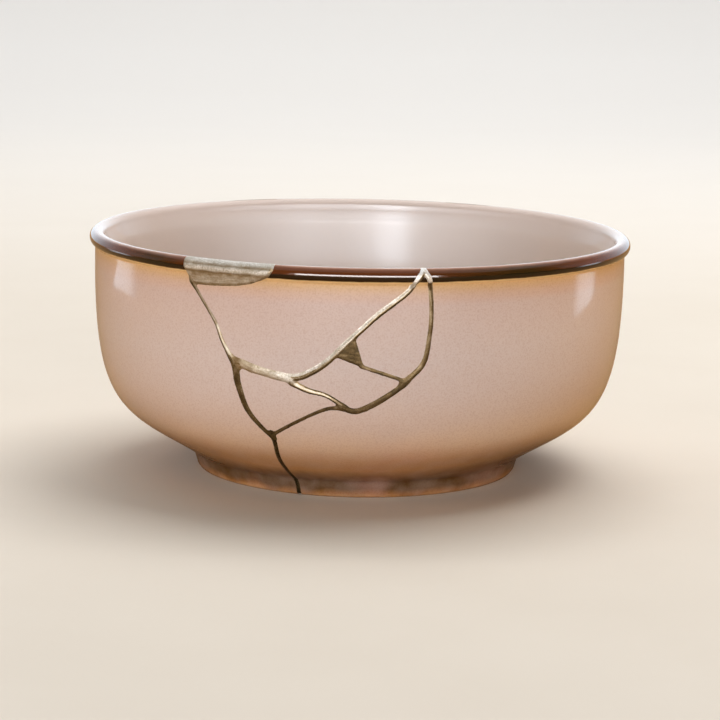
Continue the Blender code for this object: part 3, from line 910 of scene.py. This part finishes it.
def clay_points(sheet, angles):
    """The points of a sheet of clay, outside then inside."""
    return np.vstack([spots(sheet["radius"], sheet["height"], angles),
                      spots(sheet["in_radius"], sheet["height"], angles)])


def clay_notes(sheet, angles):
    """The run of every spot, outside then inside."""
    return np.concatenate([sheet["run"], sheet["in_run"]]).repeat(len(angles))[:, None]


def clay_level(sheet, angles, owner_at, index):
    """Above nought on one piece of clay: the distance outside the cracks there, and its negative
    on every other piece."""
    depth = repair_field(sheet, angles)["depth"]
    return np.where(owner_at(sheet, angles) == index, -depth, -np.abs(depth) - 1e-3)


def make_shard(name, index, sheet, angles, owner_at):
    """One loose shard: an outer and an inner sheet inside the cracks round it, and the broken
    edge between them."""
    return shell(name, clay_points(sheet, angles), clay_notes(sheet, angles), ("run",),
                 clay_level(sheet, angles, owner_at, index),
                 *numbering(len(sheet["run"]), len(angles), [0]))


def body_angles():
    """Columns round the bowl: close together where it is broken, wide elsewhere."""
    low, high = BROKEN_SPAN
    broken = np.arange(low, high, BROKEN_ANGLE_STEP)
    around = np.linspace(high, low + 360.0, int((360.0 - high + low) / WHOLE_ANGLE_STEP) + 1)
    return np.radians(np.concatenate([broken, around[:-1]]))


def body_level(sheet, angles, owner_at):
    """The body's level on columns that go once round the bowl from the break's left end: it is
    worked out with the columns in the order of their angle from -180 to 180 degrees."""
    wrapped = (angles + math.pi) % (2 * math.pi) - math.pi
    order = np.argsort(wrapped)
    level = np.empty((len(sheet["run"]), len(angles)))
    level[:, order] = clay_level(sheet, wrapped[order], owner_at, 0)
    return level.ravel()


def make_body(owner_at):
    """The unbroken rest of the bowl. Its outer sheet is cut along the cracks; behind it lie the
    inner wall, the end of the slot that the low crack cuts into the foot, and the foot ring's
    inner side. The floor and the underside close it, each as rings round a middle point."""
    sheet, angles = rows(BODY_LIP_PITCH, BODY_WALL_PITCH), body_angles()
    columns = len(angles)
    number, behind = numbering(len(sheet["run"]), columns, [0, -1])
    level = body_level(sheet, angles, owner_at)
    points, notes = [clay_points(sheet, angles)], [clay_notes(sheet, angles)]
    slot_row, foot_row = (int(np.abs(sheet["height"] - height).argmin())
                          for height in (SLOT_TOP, UNDERSIDE_HEIGHT))
    slot_run = float(np.interp(SLOT_RADIUS, INN[::-1, 0], INN_RUN[::-1]))
    floor_run = np.linspace(slot_run, INN_RUN[-1], FLOOR_RINGS)[1:-1]
    floor_radius, floor_height = (np.interp(floor_run, INN_RUN, column) for column in INN.T)
    under_radius = np.linspace(SLOT_RADIUS, 0.0, UNDERSIDE_RINGS)[1:-1]
    under_height = np.full(len(under_radius), UNDERSIDE_HEIGHT)
    discs = []
    for edge_row, radius, height, run, middle, turn in (
        (slot_row, floor_radius, floor_height, -floor_run, FLOOR_EDGE[1], -1),
        (foot_row, under_radius, under_height, OUT_RUN[-1] + UNDERSIDE_RUN - under_radius,
         UNDERSIDE_HEIGHT, 1),
    ):
        rings = sum(len(p) for p in points) + np.arange(len(radius) * columns)
        centre = np.full((1, columns), rings[-1] + 1)
        disc = np.vstack([behind[edge_row], rings.reshape(-1, columns), centre])
        discs.append(whole(lattice(disc, True))[:, ::turn])
        points += [spots(radius, height, angles), [(0.0, 0.0, middle)]]
        notes += [np.repeat(run, columns)[:, None], [(run[-1],)]]

    front = lattice(number, True)
    wall = lattice(behind[:slot_row + 1], True)[:, ::-1]
    ring = lattice(behind[foot_row:], True)[:, ::-1]
    slot = lattice(behind[slot_row:foot_row + 1], True)
    triangles = np.vstack([front, wall, ring, slot, *discs])
    keep = np.repeat([1, -1, 0], [len(front) + len(wall) + len(ring), len(slot),
                                  len(discs[0]) + len(discs[1])])
    walled = np.arange(len(triangles)) < len(front)
    points = np.vstack(points)
    twin = np.arange(len(points))
    twin[:number.size] = behind.ravel()
    flat = np.ones(len(points) - 2 * number.size)
    made = carved(points, np.vstack(notes), np.concatenate([level, level, flat]), triangles,
                  keep, walled, twin)
    return as_object("bowl_body_piece", *made, ("run",))


def make_clay():
    """The body and the four shards."""
    scout, (low, high) = rows(SCOUT_PITCH, SCOUT_PITCH), np.radians(BROKEN_SPAN)
    scout_angles = np.linspace(low, high, SCOUT_COLUMNS)
    scout_owner = shard_map(scout, scout_angles, repair_field(scout, scout_angles)["depth"])

    def owner_at(sheet, angles):
        """Owner of each spot of another grid, from the nearest spot of the scouting grid."""
        row = np.clip(np.searchsorted(scout["run"], sheet["run"]), 0, len(scout["run"]) - 1)
        column = np.searchsorted(scout_angles, angles)
        inside = (column > 0) & (column < len(scout_angles))
        found = scout_owner[row][:, np.clip(column, 0, len(scout_angles) - 1)]
        return np.where(inside, found, 0)

    clay = {"bowl_body": make_body(owner_at)}
    angles = np.arange(low, high, math.radians(SHARD_ANGLE_STEP))
    sheet = rows(BODY_LIP_PITCH, SHARD_PITCH)
    for index, name in enumerate(SHARDS, start=1):
        clay[name] = make_shard(name + "_piece", index, sheet, angles, owner_at)
    return clay


# ---------------------------------------------------------------- node helpers
def srgb(red, green, blue):
    """A colour given as it shows on a screen, 0 to 255, as the linear values a shader takes."""
    shown = np.array([red, green, blue]) / 255.0
    linear = np.where(shown <= 0.04045, shown / 12.92, ((shown + 0.055) / 1.055) ** 2.4)
    return (*[float(v) for v in linear], 1.0)


def plugged(tree, node, inputs):
    """Sets a node's inputs, each to a value or to another node's output."""
    for key, value in inputs.items():
        if isinstance(value, bpy.types.NodeSocket):
            tree.links.new(value, node.inputs[key])
        else:
            node.inputs[key].default_value = value
    return node


def add(tree, kind, inputs=None, **settings):
    """A node with its settings and its inputs."""
    made = tree.nodes.new(kind)
    for key, value in settings.items():
        setattr(made, key, value)
    return plugged(tree, made, inputs or {})


def object_place(tree):
    """The place of a spot on its object."""
    return add(tree, "ShaderNodeTexCoord").outputs["Object"]


def part_of(tree, place, axis):
    """One of a place's three coordinates."""
    return add(tree, "ShaderNodeSeparateXYZ", {"Vector": place}).outputs[axis]


def note(tree, name):
    """A note that the mesh keeps at each of its points."""
    return add(tree, "ShaderNodeAttribute", attribute_name=name).outputs["Fac"]


def noise(tree, place, size, detail=2.0, roughness=0.5):
    """Noise whose grains are about the given size in millimetres, from 0 to 1."""
    return add(tree, "ShaderNodeTexNoise", {
        "Vector": place, "Scale": 1.0 / (size * MM), "Detail": detail, "Roughness": roughness,
        "Distortion": 0.0,
    }).outputs["Fac"]


def worked(tree, operation, first, *others):
    """Values or outputs taken together, one after the other, by an arithmetic operation."""
    for other in others:
        first = add(tree, "ShaderNodeMath", {0: first, 1: other}, operation=operation).outputs[0]
    return first


def total(tree, *values):
    """Values or outputs added up."""
    return worked(tree, "ADD", *values)


def product(tree, *values):
    """Values or outputs multiplied together."""
    return worked(tree, "MULTIPLY", *values)


def stretched(tree, value, low, high, to_low=0.0, to_high=1.0):
    """Maps low..high onto to_low..to_high and holds it within them."""
    return add(tree, "ShaderNodeMapRange", {
        "Value": value, "From Min": low, "From Max": high, "To Min": to_low, "To Max": to_high,
    }, clamp=True).outputs["Result"]


def band(tree, value, rise, fall, height=1.0):
    """0 before the rise, the height after it, and 0 again after the fall."""
    return product(tree, stretched(tree, value, *rise, 0.0, height),
                   stretched(tree, value, *fall, 1.0, 0.0))


def clouded(tree, place, size, to_low, to_high, low=0.3, high=0.7, detail=3.0, roughness=0.5):
    """Noise of a grain size in millimetres, with its low..high mapped onto to_low..to_high."""
    return stretched(tree, noise(tree, place, size, detail, roughness), low, high, to_low, to_high)


def ramp(tree, value, shades):
    """A shade for each given value, blended between them."""
    low, high = min(shades), max(shades)
    made = add(tree, "ShaderNodeValToRGB", {"Fac": stretched(tree, value, low, high)})
    marks = made.color_ramp.elements
    while len(marks) < len(shades):
        marks.new(0.5)
    for mark, at in zip(marks, sorted(shades)):
        mark.position = (at - low) / (high - low)
    for mark, at in zip(marks, sorted(shades)):
        mark.color = srgb(*shades[at])
    return made.outputs["Color"]


def mixed(tree, share, first, second, blend="MIX"):
    """Two colours mixed by a share."""
    made = add(tree, "ShaderNodeMix", data_type="RGBA", blend_type=blend)
    return plugged(tree, made, {0: share, 6: first, 7: second}).outputs[2]


def new_material(name, surface="ShaderNodeBsdfPrincipled"):
    """A node material with its output joined to a new node of the given kind."""
    material = bpy.data.materials.new(name)
    material.use_nodes = True
    tree = material.node_tree
    tree.nodes.clear()
    shader = tree.nodes.new(surface)
    add(tree, "ShaderNodeOutputMaterial", {"Surface": shader.outputs[0]})
    return material, tree, shader


# ---------------------------------------------------------------- glaze
def outside_run(height):
    """Run down the outside at a height, as a plain number."""
    return float(run_of(height))


def between_heights(tree, run, heights, to_first=0.0, to_last=1.0):
    """Maps the outside from the first height to the last onto to_first..to_last."""
    return stretched(tree, run, *(outside_run(height) for height in heights), to_first, to_last)


def lip_shade(tree, place, run, across):
    """The lip's shade by run: brown, with painted shade making it near black under the roll and
    painted light brightening the amber pool below, and olive on one stretch at each side of the
    bowl.
    """
    at_lip = total(tree, run, clouded(tree, place, *LIP_WAVER))
    brown, olive = (ramp(tree, at_lip, {**LIP_GLAZE_AND_PAINTED_LIGHT, **change}) for change in ({}, LIP_OLIVE))
    stretches = (band(tree, across, *stretch) for stretch in OLIVE_STRETCHES)
    return mixed(tree, total(tree, *stretches), brown, olive)


def wall_shade(tree, place, run, across):
    """The outer wall's shade by run, which wanders a little; the brown low down is partly painted
    shade. Low on the right it is taken from further down, as painted shade, so that the brown
    reaches higher there."""
    drift = clouded(tree, place, *WALL_DRIFT)
    shade_creep = product(tree, stretched(tree, across, *RIGHT_SHADE_CREEP),
                    between_heights(tree, run, RIGHT_SHADE_CREEP_HEIGHTS, 1.0, 0.0))
    shades = {outside_run(height): shade for height, shade in WALL_GLAZE_AND_PAINTED_SHADE.items()}
    return ramp(tree, total(tree, run, drift, shade_creep),
                {**WALL_START, **shades, OUT_RUN[-1]: BARE_CLAY})


def glaze_colour(tree, place, run):
    """Lip, outer wall and inner wall put together by run, with rosy and pale clouds low on the
    wall, a fine speckle and a few darker specks."""
    across = part_of(tree, place, "X")
    outer = mixed(tree, stretched(tree, run, *WALL_TAKES_OVER),
                  lip_shade(tree, place, run, across), wall_shade(tree, place, run, across))
    inner = ramp(tree, run, {-INN_RUN[-1]: FLOOR_GLAZE, **INNER_GLAZE})
    colour = mixed(tree, stretched(tree, run, *OUTSIDE_STARTS), inner, outer)
    places = {"low": between_heights(tree, run, CLOUD_HEIGHTS),
              "glazed": stretched(tree, run, *GLAZE_STARTS)}
    for shade, share, where, blend, size, *grain in GLAZE_CLOUDS.values():
        amount = product(tree, clouded(tree, place, size, 0.0, 1.0, *grain), places[where], share)
        colour = mixed(tree, amount, colour, srgb(*shade), blend)
    return colour


def glaze_material():
    """Pink speckled glaze that pools amber, brightened with painted light, under a dark iron lip
    whose underside carries painted shade; turns peach low on the wall and brown in the crease
    above the foot, partly painted shade; paler and duller inside; bare clay under the foot."""
    material, tree, shader = new_material("pink_glaze_finish")
    place, run = object_place(tree), note(tree, "run")
    rough = total(
        tree, stretched(tree, run, -1.0, 0.6, INSIDE_ROUGHNESS, LIP_ROUGHNESS),
        stretched(tree, run, *WALL_DULLS, 0.0, WALL_ROUGHNESS - LIP_ROUGHNESS),
        stretched(tree, run, outside_run(DRY_HEIGHT), OUT_RUN[-1] - DRY_RUN, 0.0, DRY_ROUGHNESS),
        clouded(tree, place, *UNEVEN_GLOSS),
    )
    waves = total(tree, product(tree, noise(tree, place, WAVE_SIZE), WAVE_SHARE),
                  noise(tree, place, RIPPLE_SIZE))
    bump = add(tree, "ShaderNodeBump", {"Height": waves, "Strength": 0.12, "Distance": 0.00012})
    plugged(tree, shader, {
        "Base Color": glaze_colour(tree, place, run), "Roughness": rough,
        "Normal": bump.outputs["Normal"], "Specular IOR Level": 0.15, "Coat Weight": 1.0,
        "Coat Roughness": 0.08,
    })
    return material


# ---------------------------------------------------------------- silver
def silver_material():
    """Champagne silver lacquer, brushed and hammered, olive to near black where its tone is low:
    tarnished on the dull seams, and painted shade on lower flanks."""
    material, tree, shader = new_material("silver_lacquer_finish")
    place, tone = object_place(tree), note(tree, "tone")
    grain = product(tree, clouded(tree, place, *FINE_GRAIN, roughness=0.6),
                    stretched(tree, tone, *GRAIN_BY_TONE))
    tone = total(tree, tone, grain, clouded(tree, place, *TONE_CLOUDS, detail=2.0))
    colour = mixed(tree, note(tree, "gold"), ramp(tree, tone, SILVER), srgb(*CHAMPAGNE),
                   "MULTIPLY")
    rough = total(tree, clouded(tree, place, *SILVER_ROUGHNESS, detail=2.0),
                  stretched(tree, tone, *ROUGHER_BY_TONE))
    dents = product(tree, noise(tree, place, DENT_SIZE, 3.0, 0.6),
                    stretched(tree, tone, *DENTS_BY_TONE))
    bump = add(tree, "ShaderNodeBump", {"Height": dents, "Strength": 0.35, "Distance": 0.00008})
    plugged(tree, shader, {
        "Base Color": colour, "Roughness": rough, "Normal": bump.outputs["Normal"],
        "Metallic": 0.34, "Specular IOR Level": 0.1,
    })
    return material


# ---------------------------------------------------------------- floor, light, camera
def unseen(thing, *ways):
    """Hides a thing from some kinds of light rays."""
    for way in ways:
        setattr(thing, "visible_" + way, False)


def stage_sheet(name, points, material, *unseen_ways):
    """A stage sheet through a grid of points."""
    number = np.arange(points[..., 0].size).reshape(points.shape[:2])
    faces = np.stack([number[:-1, :-1], number[:-1, 1:], number[1:, 1:], number[1:, :-1]], -1)
    mesh = bpy.data.meshes.new(name)
    mesh.from_pydata(points.reshape(-1, 3).tolist(), [], faces.reshape(-1, 4).tolist())
    mesh.materials.append(material)
    sheet = placed(name, mesh)
    unseen(sheet, *unseen_ways)
    return mesh


def make_floor():
    """A pale table that curves up behind into a backdrop."""
    bend = np.linspace(0, 1.5, 16)
    y = np.concatenate([np.linspace(FLOOR_FRONT, FLOOR_BEND, 12),
                        FLOOR_BEND + FLOOR_RADIUS * np.sin(bend), 2 * [FLOOR_BEND + FLOOR_RADIUS]])
    z = np.concatenate([np.zeros(12), FLOOR_RADIUS - FLOOR_RADIUS * np.cos(bend),
                        BACKDROP_HEIGHTS])
    x = np.linspace(-FLOOR_HALF_WIDTH, FLOOR_HALF_WIDTH, 5)
    grid = np.stack([x[None, :] + 0 * y[:, None], y[:, None] + 0 * x, z[:, None] + 0 * x], -1)
    material, tree, shader = new_material("pale_floor_finish")
    place = object_place(tree)
    near = mixed(tree, noise(tree, place, 60.0, 3.0), srgb(*FLOOR_LIGHT), srgb(*FLOOR_DARK))
    far = stretched(tree, part_of(tree, place, "Y"), *BACKDROP_STARTS)
    plugged(tree, shader, {"Base Color": mixed(tree, far, near, srgb(*BACKDROP_SHADE)),
                           "Roughness": 0.85})
    mesh = stage_sheet("pale_floor", grid, material, "diffuse", "glossy", "shadow")
    mesh.polygons.foreach_set("use_smooth", np.ones(len(mesh.polygons), bool))


def aimed(place, target, roll=0.0):
    """A matrix at a place whose -Z looks at the target, turned about that line by the roll."""
    ahead = (Vector(target) - Vector(place)).normalized()
    right = ahead.cross(Vector((0.0, 0.0, 1.0))).normalized()
    up = right.cross(ahead)
    turn = math.radians(roll)
    tilted_right = right * math.cos(turn) + up * math.sin(turn)
    tilted_up = up * math.cos(turn) - right * math.sin(turn)
    axes = Matrix((tilted_right, tilted_up, -ahead)).transposed().to_4x4()
    return Matrix.Translation(place) @ axes


def soft_light(name, place, target, size, watts, colour, unseen_way):
    """A soft rectangular light that the camera doesn't see itself."""
    lamp = bpy.data.lights.new(name, "AREA")
    lamp.shape = "RECTANGLE"
    lamp.size, lamp.size_y = size
    lamp.energy = watts
    lamp.color = colour
    thing = placed(name, lamp)
    thing.matrix_world = aimed(place, target)
    unseen(thing, "camera", unseen_way)


def make_room():
    """Surroundings that are bright behind the bowl and dimmer in front of it, with the cloth's
    colour below and, where its folds rise at the sides, a little above the table."""
    world = bpy.data.worlds.new("pale_room")
    world.use_nodes = True
    tree = world.node_tree
    towards = add(tree, "ShaderNodeTexCoord").outputs["Generated"]
    x, y, z = (part_of(tree, towards, axis) for axis in "XYZ")
    folds = total(tree, *(stretched(tree, x, *fold) for fold in FOLDS.values()))
    low = stretched(tree, worked(tree, "SUBTRACT", z, folds), *FOLD_EDGE, 1.0, 0.0)
    plugged(tree, tree.nodes["Background"], {
        "Strength": stretched(tree, y, *ROOM_TURNS, ROOM_FRONT, ROOM_BACK),
        "Color": mixed(tree, low, ROOM_COLOUR, srgb(*CLOTH_FAR)),
    })
    bpy.context.scene.world = world


def around(turn, distance, height):
    """Places round the bowl: (distance sin a, -distance cos a, height)."""
    return np.stack([distance * np.sin(turn), -distance * np.cos(turn), height], -1)


def make_light():
    """Pale surroundings, lamps, a window in front, and sheets that show only in the gloss: a far
    wall, a ceiling, a low window at each side and a card for the far inner wall."""
    make_room()
    for name, lamp in LAMPS.items():
        soft_light(name, *lamp)
    turn, rise = np.meshgrid(np.radians(np.linspace(90.0, 270.0, 31)), np.linspace(0.02, 1.2, 9),
                             indexing="ij")
    fade = 1.0 - 0.6 * eased_step(rise, 0.3, 0.9)
    glowing_sheet("far_wall", around(turn, FAR_WALL_DISTANCE, rise),
                  FAR_WALL * (0.25 - 0.75 * np.cos(turn) ** 3) * fade)
    across, ahead = np.meshgrid(np.linspace(-1.4, 1.4, 5), np.linspace(-0.9, 1.4, 5))
    glowing_sheet("ceiling", np.stack([across, ahead, CEILING_HEIGHT + 0 * across], -1),
                  np.full(across.shape, CEILING))
    for name, (first, last, strength) in SIDE_WINDOWS.items():
        make_side_window(name, first, last, strength)
    make_inner_glow()


def make_side_window(name, first, last, strength):
    """A far window beside the table, low enough to be mirrored in the upright wall, with soft
    sides and a soft bottom."""
    low, high = SIDE_WINDOW_HEIGHTS
    turn, height = np.meshgrid(np.radians(np.linspace(first, last, 9)), np.linspace(low, high, 9),
                               indexing="ij")
    share = np.linspace(0.0, 1.0, 9)[:, None]
    soft = np.clip(np.minimum(share, 1 - share) * 4, 0, 1)
    soft = soft * np.clip((height - low) / SIDE_WINDOW_SOFT, 0, 1)
    glowing_sheet(name, around(turn, SIDE_WINDOW_DISTANCE, height), strength * soft)


def make_inner_glow():
    """A glowing card whose mirror image, from the camera, covers a stretch of the far inner
    wall: each of its points is the wall's point, moved by the reach along the camera's mirrored
    line of sight."""
    low, high = INNER_GLOW_HEIGHTS
    rise, angle = np.meshgrid(np.linspace(0.0, 1.0, 9), np.linspace(-60.0, 60.0, 61),
                              indexing="ij")
    shine = np.interp(angle, list(INNER_GLOW), list(INNER_GLOW.values()))
    shine = shine * (INNER_GLOW_BOTTOM + (1.0 - INNER_GLOW_BOTTOM) * rise)
    heights, turn = low + (high - low) * rise, np.radians(180.0 - angle)
    radius, out, up = (inside_at(heights, column)
                       for column in (INN[:, 0], INN_FACING[:, 0], INN_FACING[:, 1]))
    wall = around(turn, radius, heights) * MM
    normal = around(turn, out, up)
    sight = wall - np.array(camera_place())
    sight /= np.linalg.norm(sight, axis=-1)[..., None]
    mirrored = sight - 2 * (sight * normal).sum(-1)[..., None] * normal
    glowing_sheet("inner_glow", wall + mirrored * INNER_GLOW_REACH, INNER_GLOW_STRENGTH * shine,
                  True)


def glowing_sheet(name, points, strength, one_sided=False):
    """A sheet through a grid of points that glows by the given strengths, from both sides or
    from its front alone. It shows only in gloss and lights nothing."""
    material, tree, mix = new_material(name + "_light", "ShaderNodeMixShader")
    lit = add(tree, "ShaderNodeEmission", {"Strength": note(tree, "glow"), "Color": GLOW_COLOUR})
    back = add(tree, "ShaderNodeNewGeometry").outputs["Backfacing"]
    clear = add(tree, "ShaderNodeBsdfTransparent").outputs[0]
    plugged(tree, mix, {0: back if one_sided else 0.0, 1: lit.outputs[0], 2: clear})
    mesh = stage_sheet(name, points, material, "camera", "diffuse", "shadow")
    mesh.attributes.new("glow", "FLOAT", "POINT").data.foreach_set("value", strength.ravel())


def make_cloth(name, depth, colour, shadow, *unseen_ways):
    """A warm cloth under and behind the bowl, unseen itself, which reaches to the table's
    edges at the sides. It is darker by the share in painted shadow on stretches beside the bowl."""
    material, tree, shader = new_material(name + "_finish")
    place = object_place(tree)
    worn = tuple(int(0.9 * part) for part in colour)
    weave = mixed(tree, noise(tree, place, 40.0), srgb(*colour), srgb(*worn))
    across = part_of(tree, place, "X")
    folds = (band(tree, across, rise, fall, shadow * deep) for rise, fall, deep in CLOTH_FOLDS)
    fold = total(tree, *folds)
    plugged(tree, shader, {"Base Color": mixed(tree, fold, weave, srgb(*CLOTH_SHADOW)),
                           "Roughness": 0.9})
    mesh = bpy.data.meshes.new(name)
    mesh.from_pydata([(x, y, depth) for x, y in CLOTH_EDGE], [], [range(len(CLOTH_EDGE))])
    mesh.materials.append(material)
    cloth = placed(name, mesh)
    unseen(cloth, "camera", *unseen_ways)


def make_cloths():
    """The bowl picks up the cloth's colour from below, in its shade and, darker, in its
    gloss."""
    make_cloth("cloth_in_shade", -0.0008, CLOTH, 0.85, "glossy")
    make_cloth("cloth_in_gloss", -0.0004, CLOTH_IN_GLOSS, 0.0, "diffuse", "shadow")


def camera_place():
    """Where the camera stands: a little above the lip, in front."""
    back = Vector((0.0, -math.cos(CAMERA_ELEVATION), math.sin(CAMERA_ELEVATION)))
    return CAMERA_AIM + back * CAMERA_DISTANCE


def make_camera():
    """A long lens, rolled slightly."""
    data = bpy.data.cameras.new("camera")
    data.sensor_width = SENSOR
    data.lens = LENS
    data.shift_x, data.shift_y = CAMERA_SHIFT
    data.clip_start = 0.01
    data.clip_end = 20.0
    camera = placed("camera", data)
    camera.matrix_world = aimed(camera_place(), CAMERA_AIM, CAMERA_ROLL)
    bpy.context.scene.camera = camera


# ---------------------------------------------------------------- the whole scene
def main():
    """Makes every piece, dresses it, and sets it on the frame."""
    pieces = make_clay()
    glaze, silver = glaze_material(), silver_material()
    for thing in pieces.values():
        thing.data.materials.append(glaze)
    pieces["silver_repair"] = make_repair()
    pieces["silver_repair"].data.materials.append(silver)
    for node, thing in pieces.items():
        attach(thing, "root")
        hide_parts(node)
        print(node, len(thing.data.polygons), "triangles")
    make_floor()
    make_cloths()
    make_light()
    make_camera()
    bpy.context.scene.view_settings.view_transform = "Standard"


main()
